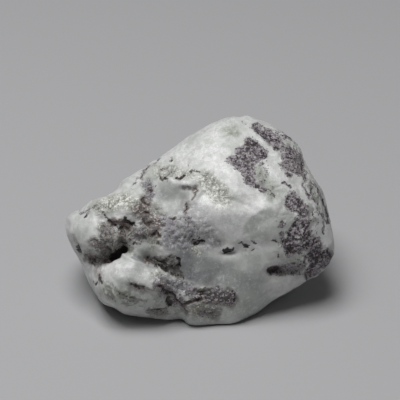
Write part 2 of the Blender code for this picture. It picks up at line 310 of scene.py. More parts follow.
# Patches of dark matrix rock on the front: (name, outline in pixels, strength). Weak ones break up into
# specks, and those of about 1 and more are darker inside.
MATRIX_PATCHES = [
    ("crown", [(244, 137), (250, 137), (256, 139), (260, 144), (264, 148), (269, 152), (269, 159),
               (261, 161), (256, 165), (254, 173), (255, 179), (262, 185), (267, 190), (265, 194),
               (258, 190), (250, 186), (243, 181), (240, 172), (235, 168), (231, 163), (225, 162),
               (227, 157), (235, 154), (237, 146), (242, 145)], 0.82),
    ("crown ring", [(244, 137), (251, 137), (257, 141), (256, 148), (250, 151), (244, 147)], 1.0),
    ("crown right", [(260, 148), (266, 149), (269, 153), (268, 159), (262, 160), (259, 154)], 1.0),
    ("crown left", [(226, 160), (231, 155), (238, 156), (240, 165), (234, 166)], 0.95),
    ("crown foot", [(241, 174), (248, 178), (256, 184), (265, 190), (258, 190), (244, 182)], 0.96),
    ("crown tail", [(257, 162), (267, 161), (270, 170), (270, 180), (276, 192), (276, 200), (270, 202),
                    (264, 192), (256, 178)], 0.34),
    ("crown streak", [(249, 127), (256, 126), (263, 130), (270, 132), (277, 135), (281, 140), (281, 150),
                      (276, 152), (271, 148), (266, 144), (261, 138), (255, 133)], 0.86),
    ("crown streak dark", [(255, 128), (263, 131), (270, 134), (272, 146), (266, 143), (259, 136)], 0.98),
    ("upper right", [(283, 147), (288, 146), (291, 150), (299, 155), (302, 157), (306, 170), (307, 179),
                     (303, 181), (296, 175), (290, 171), (282, 170), (278, 165), (282, 160),
                     (281, 152), (276, 150), (280, 146)], 0.76),
    ("upper right dark", [(284, 147), (290, 148), (294, 155), (290, 162), (285, 160)], 0.96),
    ("upper right edge", [(298, 156), (304, 164), (306, 176), (300, 172)], 1.0),
    ("right strip", [(300, 178), (308, 180), (315, 188), (320, 198), (318, 206), (311, 200),
                     (304, 190)], 0.30),
    ("right knot", [(284, 197), (288, 193), (292, 191), (299, 195), (305, 203), (309, 208), (310, 216),
                    (307, 220), (300, 218), (294, 211), (289, 211), (285, 206)], 0.82),
    ("right knot dark", [(285, 198), (290, 195), (293, 200), (290, 209), (286, 206)], 0.95),
    ("right halo", [(306, 206), (316, 209), (322, 217), (318, 228), (318, 240), (310, 234),
                    (306, 220)], 0.3),
    ("dark", [(295, 218), (302, 219), (308, 218), (311, 228), (312, 238), (318, 236), (321, 242),
              (322, 250), (312, 253), (306, 250), (300, 253), (294, 256), (288, 258), (285, 250),
              (280, 244), (280, 238), (286, 238), (288, 230)], 0.9),
    ("dark band", [(296, 218), (299, 219), (294, 225), (291, 234), (289, 241), (292, 250), (289, 257),
                   (285, 249), (281, 242), (286, 239), (289, 228)], 1.2),
    ("dark heart", [(301, 220), (306, 223), (305, 234), (308, 247), (298, 249), (293, 243),
                    (297, 231)], 1.15),
    ("end", [(305, 252), (313, 249), (322, 250), (326, 248), (331, 249), (334, 254), (332, 262),
             (327, 268), (320, 273), (314, 280), (307, 283), (304, 275), (309, 265)], 0.86),
    ("end dark", [(306, 252), (316, 250), (324, 252), (324, 260), (314, 262), (308, 260)], 1.0),
    ("end left", [(310, 262), (316, 266), (313, 278), (307, 281), (306, 272)], 0.95),
    ("end band", [(303, 255), (307, 254), (307, 264), (305, 273), (301, 272), (303, 264)], 0.95),
    ("below dark", [(288, 258), (300, 254), (303, 259), (302, 265), (294, 266), (286, 263)], 0.36),
    ("band left", [(268, 270), (271, 267), (279, 266), (282, 270), (280, 275), (270, 275)], 1.1),
    ("band", [(279, 268), (288, 264), (298, 262), (304, 258), (305, 268), (302, 275), (292, 275),
              (280, 275)], 0.66),
    ("knob", [(203, 290), (208, 286), (216, 287), (224, 290), (229, 287), (234, 291), (237, 297),
              (235, 304), (226, 305), (214, 305), (204, 302), (199, 296)], 0.57),
    ("knob top", [(205, 288), (214, 287), (226, 289), (227, 295), (214, 294), (206, 292)], 0.7),
    ("below knob", [(196, 307), (212, 308), (218, 313), (210, 319), (198, 317)], 0.46),
    ("knob left", [(184, 286), (198, 288), (202, 298), (196, 306), (186, 300)], 0.36),
    ("gully", [(142, 184), (149, 179), (156, 184), (155, 192), (151, 204), (142, 204), (141, 192)], 0.33),
    ("rubble", [(102, 222), (124, 226), (138, 222), (156, 222), (158, 238), (138, 246), (122, 252),
                (102, 262), (98, 246)], 0.34),
    ("waist", [(148, 254), (160, 257), (176, 256), (182, 264), (182, 279), (168, 275), (154, 268)], 0.36),
    ("lilac", [(164, 216), (188, 214), (200, 224), (204, 236), (192, 248), (176, 248), (162, 238)], 0.2),
    ("foot right", [(160, 284), (176, 288), (184, 300), (180, 310), (166, 306), (158, 292)], 0.39),
    ("foot edge", [(146, 309), (168, 309), (170, 317), (146, 319)], 0.46),
    ("foot mottle", [(118, 291), (134, 298), (136, 306), (128, 306)], 0.36),
    ("cave left", [(86, 254), (98, 254), (106, 250), (106, 264), (98, 268), (88, 264)], 0.25),
]

# Streaks and spots of matrix rock on the front: (name, path in pixels, half width in pixels, strength).
MATRIX_STREAKS = [
    ("patch eye", [(248, 143)], 3, 1.3),
    ("patch core", [(265, 156)], 3, 1.3),
    ("crown edge", [(270, 131), (275, 133), (281, 135)], 0.9, 0.8),
    ("crown edge low", [(283, 138), (288, 141)], 1.6, 1.0),
    ("rim", [(293, 144), (298, 148)], 0.8, 0.8),
    ("upper right joint", [(277, 148), (282, 147)], 2.0, 0.75),
    ("upper right spot", [(286, 173), (289, 175)], 2.4, 1.1),
    ("upper right core", [(302, 163), (302, 168)], 2.0, 1.3),
    ("above the knot", [(282, 184), (286, 185), (290, 188)], 1.6, 1.0),
    ("knot core", [(297, 199), (300, 202)], 1.8, 1.2),
    ("edge streak", [(303, 183), (306, 190), (309, 197)], 1.2, 0.9),
    ("edge streak middle", [(310, 186), (312, 193), (315, 201), (318, 204)], 1.3, 0.95),
    ("edge streak thin", [(311, 182), (318, 190), (322, 198)], 1.0, 1.0),
    ("edge line", [(322, 199), (326, 209), (329, 222)], 1.5, 1.2),
    ("edge line inner", [(317, 208), (321, 213), (325, 219)], 1.1, 0.9),
    ("edge line low", [(323, 221), (324, 233)], 1.2, 1.0),
    ("right blob", [(282, 224)], 3.6, 0.8),
    ("right blob rim", [(280, 221), (283, 221), (285, 224), (282, 227), (279, 226)], 0.8, 1.1),
    ("right blob low", [(282, 234)], 3.4, 0.8),
    ("right blob low rim", [(279, 233), (282, 231), (285, 234), (283, 237)], 0.8, 1.1),
    ("right speck", [(275, 221)], 1.2, 0.6),
    ("black", [(290, 250)], 2.6, 1.3),
    ("end black", [(328, 251), (330, 255)], 2.0, 1.2),
    ("end black left", [(317, 258), (321, 256)], 2.2, 1.3),
    ("peak speck", [(241, 123), (246, 125)], 1.0, 0.6),
    ("nose streak", [(80, 214), (88, 209), (97, 205)], 1.0, 0.8),
    ("nose streak low", [(84, 217), (90, 212)], 1.0, 0.8),
    ("nose speck", [(78, 211), (80, 210)], 0.9, 0.5),
    ("slope streak", [(142, 179), (146, 172), (149, 168)], 1.4, 0.85),
    ("slope streak top", [(155, 165), (160, 158)], 1.1, 0.85),
    ("slope streak right", [(160, 170), (168, 167)], 1.1, 0.68),
    ("slope speck", [(170, 160), (172, 158)], 1.1, 0.68),
    ("slope streak far", [(163, 180), (172, 171)], 0.9, 0.68),
    ("slope streak foot", [(132, 188), (139, 180)], 1.0, 0.55),
    ("slope streak low", [(168, 174), (175, 171)], 1.1, 0.68),
    ("knob ring", [(232, 292), (235, 297), (234, 303), (231, 304)], 1.6, 1.2),
    ("notch", [(158, 285), (166, 291), (174, 297)], 2.2, 0.8),
    ("notch low", [(168, 302), (178, 304)], 2.4, 0.8),
    ("foot crack right", [(184, 305), (191, 302), (199, 300)], 2.4, 0.8),
    ("smear", [(131, 284), (138, 286), (144, 288)], 1.8, 0.5),
    ("foot blob", [(102, 293)], 1.8, 0.45),
    ("foot blob right", [(112, 298)], 2.4, 0.42),
]

# Smooth and grainy zones on the front: (kind, path in pixels, half width in pixels, strength). The mottled
# ones only make the grey blotches stronger. The others have tones of their own.
ZONES = [
    ("rust", [(112, 221), (120, 223), (128, 227)], 4, 1.0),
    ("rust", [(93, 242), (100, 245), (103, 252)], 5, 0.8),
    ("rust", [(88, 257), (97, 260), (106, 260)], 5, 0.9),
    ("rust", [(142, 211), (148, 218), (154, 224)], 8, 1.0),
    ("rust", [(143, 198), (148, 203)], 5, 0.8),
    ("rust", [(150, 259), (160, 259), (166, 264)], 5, 0.85),
    ("rust", [(196, 190)], 2.8, 1.0),
    ("rust", [(196, 192), (193, 200)], 1.4, 0.8),
    ("rust", [(187, 203), (184, 212)], 2.0, 0.7),
    ("rust", [(184, 188), (193, 188)], 2.5, 0.5),
    ("rust", [(160, 287), (170, 294), (180, 302)], 6, 0.8),
    ("rust", [(182, 306), (186, 313)], 4, 0.8),
    ("rust", [(222, 302), (232, 304)], 4, 0.5),
    ("rust", [(132, 284), (142, 288), (152, 290)], 4, 0.6),
    ("rust", [(98, 268), (100, 280)], 4, 0.5),
    ("rust", [(300, 206), (306, 216)], 5, 0.5),
    ("olive", [(104, 230), (110, 240), (112, 248)], 8, 0.9),
    ("olive", [(120, 232), (124, 244)], 5, 0.9),
    ("olive", [(130, 232), (142, 234), (154, 236)], 7, 0.9),
    ("olive", [(134, 208), (146, 206), (158, 211)], 6, 0.6),
    ("olive", [(168, 262), (174, 268), (178, 276)], 6, 0.75),
    ("olive", [(202, 296), (214, 297), (228, 297)], 8, 1.5),
    ("olive", [(152, 313), (166, 314)], 6, 0.8),
    ("olive", [(196, 309), (214, 313)], 7, 0.9),
    ("olive", [(308, 238), (316, 246)], 6, 0.8),
    ("olive", [(282, 270), (300, 268)], 5, 0.7),
    ("cream", [(100, 206), (114, 203), (126, 202), (136, 204)], 8, 0.8),
    ("cream", [(124, 232), (129, 240), (130, 248)], 4, 0.7),
    ("cream", [(97, 250), (104, 247), (112, 250)], 2, 0.8),
    ("cream", [(103, 240), (108, 238), (115, 240)], 2, 0.7),
    ("cream", [(160, 262), (166, 259), (172, 258)], 2, 0.6),
    ("cream", [(206, 180), (214, 188), (222, 200)], 9, 0.9),
    ("cream", [(192, 248), (198, 252)], 4, 0.9),
    ("cream", [(160, 172), (178, 172), (190, 176)], 6, 0.7),
    ("cream", [(152, 246), (156, 240)], 3.5, 0.8),
    ("cream", [(152, 276), (166, 276)], 4, 0.6),
    ("green", [(112, 203), (124, 200)], 7, 0.7),
    ("green", [(148, 176), (160, 168), (172, 162)], 6, 0.35),
    ("green", [(104, 290), (116, 298), (130, 302)], 9, 0.5),
    ("green", [(119, 293), (134, 300)], 4, 0.9),
    ("green", [(206, 142), (212, 141)], 3, 0.6),
    ("green", [(226, 131), (236, 132)], 4.5, 0.9),
    ("green", [(258, 168), (264, 178), (272, 196)], 6, 0.9),
    ("green", [(250, 226), (262, 230), (272, 216)], 10, 0.25),
    ("green", [(73, 238), (78, 243)], 4, 0.5),
    ("green", [(312, 188), (316, 200)], 3, 0.8),
    ("green", [(292, 258), (300, 257)], 4, 0.7),
    ("lilac", [(166, 220), (176, 230), (172, 240)], 10, 0.9),
    ("lilac", [(186, 220), (192, 230), (184, 242)], 9, 0.8),
    ("lilac", [(194, 210), (204, 218), (210, 232), (206, 244)], 8, 0.45),
    ("lilac", [(206, 244), (218, 243)], 5, 0.5),
    ("lilac", [(160, 283), (172, 284), (184, 288), (196, 294)], 6, 0.9),
    ("lilac", [(146, 184), (151, 194)], 5, 0.9),
    ("lilac", [(183, 206), (178, 212)], 6, 0.4),
    ("clear", [(214, 264), (240, 266), (262, 262)], 12, 0.45),
    ("clear", [(230, 278), (250, 292), (246, 308)], 18, 1.0),
    ("clear", [(268, 240), (276, 228)], 9, 0.4),
    ("clear", [(251, 228), (258, 219), (269, 213)], 5, 0.6),
    ("clear", [(164, 192), (178, 200), (176, 208)], 10, 0.75),
    ("clear", [(200, 258), (216, 270), (214, 282)], 12, 0.8),
    ("clear", [(82, 222), (86, 234)], 6, 0.35),
    ("clear", [(142, 248), (150, 252)], 6, 1.0),
    ("clear", [(136, 258), (146, 264)], 4, 0.8),
    ("clear", [(130, 290), (150, 300), (176, 314), (216, 318)], 12, 0.9),
    ("blue", [(184, 256), (188, 266), (194, 276), (210, 276)], 9, 1.0),
    ("blue", [(200, 262), (214, 266)], 9, 0.7),
    ("blue", [(158, 194), (166, 200)], 8, 0.35),
    ("blue", [(226, 276), (240, 284), (252, 276)], 12, 0.4),
    ("blue", [(126, 262), (136, 268)], 6, 0.25),
    ("rust", [(184, 196), (186, 204)], 5, 0.22),
    ("cream", [(168, 262), (172, 267)], 3, 0.6),
    ("milk", [(240, 252), (262, 246)], 7, 0.5),
    ("milk", [(150, 160), (180, 150)], 10, 1.1),
    ("milk", [(212, 128), (240, 118)], 10, 0.6),
    ("milk", [(176, 160), (190, 156), (214, 152), (222, 168)], 13, 0.8),
    ("milk", [(236, 182), (256, 200), (270, 202)], 8, 1.0),
    ("milk", [(208, 208), (222, 214), (236, 224), (254, 212)], 13, 1.2),
    ("blue", [(134, 257), (142, 262), (152, 269)], 3.5, 0.8),
    ("milk", [(88, 270), (98, 272), (112, 268), (126, 269), (140, 274)], 8, 0.7),
    ("milk", [(70, 222), (86, 222), (94, 226)], 6, 0.5),
    ("milk", [(176, 184), (188, 182), (198, 178)], 4, 1.0),
    ("milk", [(268, 168), (278, 176), (292, 190)], 5.5, 1.2),
    ("milk", [(257, 140), (266, 148), (278, 158)], 2.5, 0.8),
    ("milk", [(246, 122), (262, 124), (284, 134)], 5, 0.8),
    ("milk", [(297, 182), (306, 192), (314, 206)], 4, 0.9),
    ("milk", [(316, 218), (325, 236)], 7, 1.1),
    ("mottled", [(108, 290), (122, 298), (144, 304)], 8, 1.0),
    ("mottled", [(120, 282), (146, 292), (160, 300)], 7, 0.6),
    ("mottled", [(150, 311), (176, 312)], 6, 0.9),
    ("mottled", [(206, 294), (230, 294)], 9, 1.0),
    ("mottled", [(200, 313), (216, 313)], 7, 1.0),
    ("mottled", [(134, 186), (148, 175), (160, 168)], 6, 0.35),
    ("mottled", [(74, 238), (80, 244)], 4, 0.25),
    ("mottled", [(84, 212), (96, 206)], 5, 0.6),
    ("mottled", [(184, 264), (194, 278)], 8, 0.6),
    ("mottled", [(170, 170), (196, 172)], 5, 0.6),
    ("mottled", [(306, 186), (318, 204), (312, 220)], 6, 0.8),
    ("mottled", [(262, 176), (272, 196)], 6, 0.5),
    ("mottled", [(284, 258), (300, 258)], 5, 0.4),
    ("mottled", [(206, 134), (234, 132)], 6, 0.4),
    ("mottled", [(96, 276), (98, 288)], 5, 0.2),
    ("mottled", [(186, 264), (200, 280), (222, 282)], 8, 0.5),
]
# The kinds with tones of their own, each laid over those before it.
ZONE_KINDS = ["milk", "clear", "blue", "green", "cream", "lilac", "olive", "rust"]
# How much coarser each kind of zone is than the plain body, or smoother where negative.
ZONE_GRAIN = {
    "milk": -0.5, "clear": -0.7, "blue": -0.2, "green": 0.0,
    "cream": 0.6, "lilac": 0.7, "olive": 0.9, "rust": 1.0,
}

# Small pale crystals set in the dark patches: (across, down, half width in pixels).
PALE_CRYSTALS = [
    (301, 228, 2.0), (298, 237, 1.5), (300, 243, 2.2), (305, 243, 1.4), (297, 224, 1.0), (293, 232, 1.0),
    (318, 266, 2.0), (322, 270, 1.4), (284, 142, 1.8), (278, 155, 1.6), (217, 294, 1.6), (212, 291, 1.3),
    (128, 237, 1.6), (130, 247, 1.4), (141, 226, 1.4), (158, 178, 1.5), (149, 194, 1.2), (181, 171, 1.8),
    (169, 262, 1.3), (178, 280, 1.6), (196, 281, 1.6), (200, 245, 1.4), (100, 286, 1.2), (154, 242, 1.4),
    (255, 156, 1.2), (249, 153, 1.1), (241, 160, 1.0), (244, 170, 1.0), (290, 198, 1.0), (296, 206, 1.0),
]

# Patches of matrix rock on the sides that the photograph doesn't show: (heading, rise, half width), all in
# degrees and seen from the stone's middle.
UNSEEN_PATCHES = [
    (112, 30, 17), (130, -8, 12), (158, 42, 10), (176, 8, 15), (204, 30, 9),
    (222, -12, 13), (248, 22, 9), (150, -38, 11), (300, 62, 7), (345, 80, 8),
]
# Zones there: (kind, heading, rise, half width), in the same degrees.
UNSEEN_ZONES = [
    ("milk", 190, 55, 34), ("clear", 150, -15, 34), ("lilac", 205, 0, 24), ("rust", 228, -20, 16),
    ("green", 235, 30, 26), ("milk", 100, 5, 20), ("clear", 255, -10, 24), ("olive", 170, 22, 14),
    ("mottled", 140, 20, 40), ("mottled", 215, 10, 36), ("mottled", 265, 15, 20),
]


def axis_of(heading, rise):
    """The unit vector that faces a heading (0 front, 90 right) and rises above the level by an angle."""
    h, r = math.radians(heading), math.radians(rise)
    return np.array([math.sin(h) * math.cos(r), -math.cos(h) * math.cos(r), math.sin(r)])


TO_CAMERA = axis_of(0, VIEW_RISE)
CAMERA_RIGHT = np.array([1.0, 0.0, 0.0])
CAMERA_UP = np.cross(TO_CAMERA, CAMERA_RIGHT)
CAMERA_PLACE = np.array(AIM) + TO_CAMERA * VIEW_DISTANCE


def pixels_of(points):
    """Where the photograph's view puts points in millimetres, as pixels across and down."""
    from_camera = points - CAMERA_PLACE
    per_mm = FRAME_PIXELS * LENS / SENSOR / -(from_camera @ TO_CAMERA)
    across = AIM_PIXEL[0] + from_camera @ CAMERA_RIGHT * per_mm
    down = AIM_PIXEL[1] - from_camera @ CAMERA_UP * per_mm
    return np.stack([across, down], axis=1)


def smooth_step(low, high, values):
    """0 up to low and 1 from high, with a smooth rise between; it falls instead where low is the higher."""
    share = np.clip((values - low) / (high - low), 0, 1)
    return share * share * (3 - 2 * share)


def rough_field(points, size, seed, octaves=1):
    """Seeded noise over points in millimetres, about -1 to 1, with lumps of a size in millimetres."""
    shift = Vector([seed * step for step in ROUGH_STEPS])
    return np.array([noise.fractal(Vector(p) / size + shift, 1.0, LACUNARITY, octaves) for p in points])


def crags(points, size, seed, octaves=2):
    """0 along a net of seeded creases over points in millimetres, rising to about 1 on the knobs between."""
    shift = Vector([seed * step for step in CRAG_STEPS])
    return np.array([noise.turbulence(Vector(p) / size + shift, octaves, True) for p in points])


def distance_to(points, path):
    """How far each flat point lies from a path of straight runs."""
    nearest = np.full(len(points), np.inf)
    for start, end in zip(path, path[1:] or path):
        run = np.subtract(end, start)
        along = np.clip((points - start) @ run / max(run @ run, 1e-9), 0, 1)
        nearest = np.minimum(nearest, np.hypot(*(points - start - along[:, None] * run).T))
    return nearest


def depth_inside(points, outline):
    """How far each flat point lies inside a closed outline, negative outside."""
    inside = np.zeros(len(points), bool)
    x, y = points.T
    for (x1, y1), (x2, y2) in zip(outline, outline[1:] + outline[:1]):
        if y1 != y2:
            crosses = (y1 > y) != (y2 > y)
            inside ^= crosses & (x < (x2 - x1) * (y - y1) / (y2 - y1) + x1)
    distance = distance_to(points, outline + outline[:1])
    return np.where(inside, distance, -distance)


def points_of(mesh):
    """The mesh's points in millimetres."""
    flat = np.empty(len(mesh.vertices) * 3)
    mesh.vertices.foreach_get("co", flat)
    return flat.reshape(-1, 3) / MM


def normals_of(mesh):
    """The unit normal at each of the mesh's points."""
    flat = np.empty(len(mesh.vertices) * 3)
    mesh.vertices.foreach_get("normal", flat)
    return flat.reshape(-1, 3)


def underside_height(points):
    """How far the stone's underside clears the floor: not at all in the middle, a little about its rim."""
    across = (points[:, 0] - FOOT_MIDDLE[0]) / FOOT_REACH[0]
    along = (points[:, 1] - FOOT_MIDDLE[1]) / FOOT_REACH[1]
    rim = smooth_step(RIM_START, 1.0, np.hypot(across, along))
    corner = smooth_step(*CORNER_ACROSS, points[:, 0]) * smooth_step(*CORNER_ALONG, points[:, 1])
    return rim * (RIM_CLEARANCE + (CORNER_CLEARANCE - RIM_CLEARANCE) * corner)


def lift_surface(mesh, lift):
    """Moves each point along its normal by its lift in millimetres, and keeps it above the underside."""
    moved = points_of(mesh) + normals_of(mesh) * lift[:, None]
    moved[:, 2] = np.maximum(moved[:, 2], underside_height(moved))
    mesh.vertices.foreach_set("co", (moved * MM).ravel())
    mesh.update()


def fine_copy(cad):
    """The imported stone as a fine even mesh, its flat facets melted together."""
    skin = bpy.data.objects.new("larimar_skin", cad.data.copy())
    bpy.context.scene.collection.objects.link(skin)
    remesh = skin.modifiers.new("fine", "REMESH")
    remesh.mode = "VOXEL"
    remesh.voxel_size = VOXEL * MM
    smooth = skin.modifiers.new("melt", "SMOOTH")
    smooth.factor = SMOOTH_SHARE
    smooth.iterations = SMOOTHING_ROUNDS
    depsgraph = bpy.context.evaluated_depsgraph_get()
    mesh = bpy.data.meshes.new_from_object(skin.evaluated_get(depsgraph))
    skin.modifiers.clear()
    skin.data = mesh
    return skin


def shaken_pixels(points, pixels, shakes):
    """The pixels of points, shaken so that what is drawn on them gets ragged edges."""
    shaken = pixels.copy()
    for size, reach, seed in shakes:
        shaken[:, 0] += reach * rough_field(points, size, seed)
        shaken[:, 1] += reach * rough_field(points, size, seed + DOWNWARD_SEED)
    return shaken


def facing_share(mesh, fade):
    """1 where the surface faces the photograph's view, fading to 0 about the stone's visible edge."""
    return smooth_step(*fade, normals_of(mesh) @ TO_CAMERA)


def pit_fields(pixels):
    """The depth of the pits in millimetres, and how dark they are: 0 outside, 1 and more in the darkest."""
    depth = np.zeros(len(pixels))
    dark = np.zeros(len(pixels))
    for _, path, half_width, deepest, darkness in PITS:
        away = distance_to(pixels, path) / half_width
        depth = np.maximum(depth, deepest / (1 + away ** PIT_STEEPNESS))
        dark = np.maximum(dark, darkness * smooth_step(*DARK_FADE, away))
    return depth, dark


def relief_lift(pixels):
    """How far the front's swells and hollows lift the surface, in millimetres."""
    lift = np.zeros(len(pixels))
    for _, path, half_width, height in RELIEF:
        lift += height * np.exp(-(distance_to(pixels, path) / half_width) ** 2)
    return lift


def angle_from(points, heading, rise):
    """The angle in degrees between each point, seen from the stone's middle, and a direction."""
    outward = points - np.array(AIM)
    outward /= np.linalg.norm(outward, axis=1)[:, None]
    return np.degrees(np.arccos(np.clip(outward @ axis_of(heading, rise), -1, 1)))


def matrix_share(points, pixels, front):
    """How much of the surface is dark matrix rock: 0 for none, 1 for all, more for its darkest cores."""
    seen = np.zeros(len(points))
    for _, outline, strength in MATRIX_PATCHES:
        inside = depth_inside(pixels, outline)
        seen = np.maximum(seen, strength * smooth_step(-PATCH_EDGE, PATCH_EDGE, inside))
    for _, path, half_width, strength in MATRIX_STREAKS:
        outside = distance_to(pixels, path) - half_width
        seen = np.maximum(seen, strength * smooth_step(STREAK_EDGE, -STREAK_EDGE, outside))
    unseen = np.zeros(len(points))
    ragged = UNSEEN_RAGGED * rough_field(points, UNSEEN_RAG_SIZE, seed=31, octaves=3)
    for heading, rise, half_width in UNSEEN_PATCHES:
        outside = angle_from(points, heading, rise) - half_width + ragged
        unseen = np.maximum(unseen, smooth_step(UNSEEN_EDGE, -UNSEEN_EDGE, outside))
    return seen * front + unseen * (1 - front)


def zone_share(kind, points, pixels, front):
    """How strongly a kind of zone shows: 0 for not at all, 1 and more for wholly."""
    seen = np.zeros(len(points))
    for name, path, half_width, strength in ZONES:
        if name == kind:
            edge = distance_to(pixels, path) / half_width
            seen = np.maximum(seen, strength * smooth_step(*ZONE_FADE, edge))
    unseen = np.zeros(len(points))
    for name, heading, rise, half_width in UNSEEN_ZONES:
        if name == kind:
            unseen = np.maximum(unseen, np.exp(-(angle_from(points, heading, rise) / half_width) ** 2))
    return seen * front + unseen * (1 - front)


def crystal_share(pixels, front):
    """1 on the small pale crystals, 0 elsewhere."""
    share = np.zeros(len(pixels))
    for across, down, half_width in PALE_CRYSTALS:
        away = np.hypot(pixels[:, 0] - across, pixels[:, 1] - down) - half_width
        share = np.maximum(share, smooth_step(CRYSTAL_EDGE, -CRYSTAL_EDGE, away))
    return share * front


def coarseness(zones, matrix):
    """How coarse the surface is, up to 1 where its knobs and grain stand at their full height."""
    grainy = sum(ZONE_GRAIN[kind] * share for kind, share in zones.items())
    return np.clip(BODY_COARSENESS + grainy + ROCK_COARSENESS * matrix, LEAST_COARSENESS, 1)


def store(mesh, name, values):
    """Keeps a value for each point of the mesh under a name, for the material to read."""
    mesh.attributes.new(name, "FLOAT", "POINT").data.foreach_set("value", values.astype(np.float32))


def dressed_skin(cad):
    """The visible stone: the fine copy with its swells, pits and grain, and where its colours lie."""
    skin = fine_copy(cad)
    mesh = skin.data
    points = points_of(mesh)
    forms = facing_share(mesh, FORMS_FADE)
    front = facing_share(mesh, MARKS_FADE)
    true_pixels = pixels_of(points)
    edge_pixels = shaken_pixels(points, true_pixels, EDGE_SHAKES)
    wide_pixels = shaken_pixels(points, true_pixels, WIDE_SHAKES)
    matrix = matrix_share(points, edge_pixels, front)
    zones = {kind: zone_share(kind, points, wide_pixels, front) for kind in ZONE_KINDS}
    coarse = coarseness(zones, matrix)
    depth, dark = pit_fields(shaken_pixels(points, true_pixels, PIT_SHAKES))
    knobs = crags(points, KNOB_SIZE, seed=61)
    swell = SWELL_LIFT * rough_field(points, SWELL_SIZE, seed=41, octaves=2)
    lift_surface(mesh, relief_lift(true_pixels) * forms + swell)
    lift_surface(mesh, -depth * forms * (CREASED_PIT_SHARE + knobs))
    knobbly = KNOB_LIFT * (knobs - KNOB_LEVEL) + GRAIN_LIFT * rough_field(points, GRAIN_SIZE, seed=53)
    lift_surface(mesh, knobbly * coarse - ROCK_SINK * matrix)
    store(mesh, "matrix", matrix)
    store(mesh, "crystal", crystal_share(edge_pixels, front))
    store(mesh, "pit", dark * front)
    store(mesh, "knob", knobs)
    store(mesh, "coarse", coarse)
    store(mesh, "mottled", zone_share("mottled", points, wide_pixels, front))
    for kind, share in zones.items():
        store(mesh, kind, share)
    mesh.shade_smooth()
    return skin


class Graph:
    """A material's node tree, built a node at a time."""

    def __init__(self, name):
        self.material = bpy.data.materials.new(name)
        self.material.use_nodes = True
        self.tree = self.material.node_tree
        self.shader = self.tree.nodes["Principled BSDF"]

    def node(self, kind, inputs=(), **settings):
        """A new node with its settings, its inputs fed by (socket, value or another node's output)."""
        made = self.tree.nodes.new(kind)
        for setting, value in settings.items():
            setattr(made, setting, value)
        for socket, value in inputs:
            self.feed(made.inputs[socket], value)
        return made

    def feed(self, socket, value):
        """Links another node's output to a socket, or sets the socket to a plain value."""
        if isinstance(value, bpy.types.NodeSocket):
            self.tree.links.new(value, socket)
        else:
            socket.default_value = value

    def place(self):
        """Object coordinates in millimetres."""
        coordinates = self.node("ShaderNodeTexCoord").outputs["Object"]
        scaled = self.node("ShaderNodeVectorMath", [(0, coordinates), (3, 1 / MM)], operation="SCALE")
        return scaled.outputs["Vector"]

    def share(self, name):
        """A value that is stored on the mesh's points under a name."""
        return self.node("ShaderNodeAttribute", attribute_name=name).outputs["Fac"]

    def speckle(self, place, size, detail=2.0, distortion=0.0):
        """Noise from 0 to 1 with lumps of a size in millimetres."""
        inputs = [("Vector", place), ("Scale", 1 / size), ("Detail", detail), ("Distortion", distortion)]
        return self.node("ShaderNodeTexNoise", inputs).outputs["Fac"]

    def crystals(self, place, size):
        """A value from 0 to 1 that is even over each of many small blocks of a size in millimetres."""
        blocks = self.node("ShaderNodeTexVoronoi", [("Vector", place), ("Scale", 1 / size)])
        return self.node("ShaderNodeSeparateColor", [("Color", blocks.outputs["Color"])]).outputs["Red"]

    def math(self, operation, first, second=0.0, third=0.0):
        """The result of a math operation on up to three values."""
        inputs = [(0, first), (1, second), (2, third)]
        return self.node("ShaderNodeMath", inputs, operation=operation).outputs[0]

    def remap(self, value, low, high, to_low=0.0, to_high=1.0):
        """A value taken smoothly from one range to another, and held at the ends."""
        source = [("Value", value), ("From Min", low), ("From Max", high)]
        target = [("To Min", to_low), ("To Max", to_high)]
        made = self.node("ShaderNodeMapRange", source + target, interpolation_type="SMOOTHSTEP")
        return made.outputs["Result"]

    def mix(self, share, first, second):
        """A colour between two colours."""
        made = self.node("ShaderNodeMix", data_type="RGBA")
        self.feed(made.inputs["Factor"], share)
        self.feed(made.inputs[6], first)
        self.feed(made.inputs[7], second)
        return made.outputs[2]


def colour(red, green, blue):
    """An opaque colour."""
    return (red, green, blue, 1.0)


PALE = colour(0.54, 0.555, 0.53)
PALE_LIGHT = colour(0.70, 0.71, 0.69)
MOTTLE = colour(0.17, 0.168, 0.152)
# Brown about the pits, and in part painted shade in shallow recesses.
STAIN_AND_PAINTED_SHADE = colour(0.075, 0.050, 0.045)
# Near-black in pits, cracks and creases, and in part painted shade of the deep hollows and creases.
DIRT_AND_PAINTED_SHADE = colour(0.018, 0.013, 0.012)
CRYSTAL = colour(0.52, 0.51, 0.52)
ROCK_RIM = colour(0.055, 0.045, 0.050)
ROCK_PALE = colour(0.27, 0.245, 0.258)
# Painted sparkle highlight, and partly pale specks.
GLINT = colour(0.80, 0.80, 0.79)
FLOOR_GREY = colour(0.45, 0.45, 0.46)
WHITE = colour(1, 1, 1)

# Each kind of zone in three tones: its dark, middle and light grains.
TONES = {
    "milk": (colour(0.66, 0.67, 0.655), colour(0.73, 0.74, 0.73), colour(0.80, 0.81, 0.80)),
    "clear": (colour(0.36, 0.38, 0.355), colour(0.47, 0.49, 0.465), colour(0.60, 0.62, 0.60)),
    "blue": (colour(0.19, 0.198, 0.207), colour(0.30, 0.31, 0.318), colour(0.46, 0.47, 0.475)),
    "green": (colour(0.27, 0.295, 0.245), colour(0.42, 0.45, 0.385), colour(0.60, 0.625, 0.56)),
    "cream": (colour(0.22, 0.215, 0.175), colour(0.56, 0.565, 0.51), colour(0.86, 0.86, 0.81)),
    "lilac": (colour(0.125, 0.113, 0.130), colour(0.36, 0.345, 0.385), colour(0.66, 0.64, 0.69)),
    "olive": (colour(0.030, 0.024, 0.018), colour(0.175, 0.160, 0.125), colour(0.58, 0.56, 0.50)),
    "rust": (colour(0.030, 0.017, 0.015), colour(0.145, 0.098, 0.090), colour(0.52, 0.44, 0.42)),
    "matrix": (colour(0.040, 0.032, 0.037), colour(0.170, 0.146, 0.162), colour(0.42, 0.385, 0.405)),
}


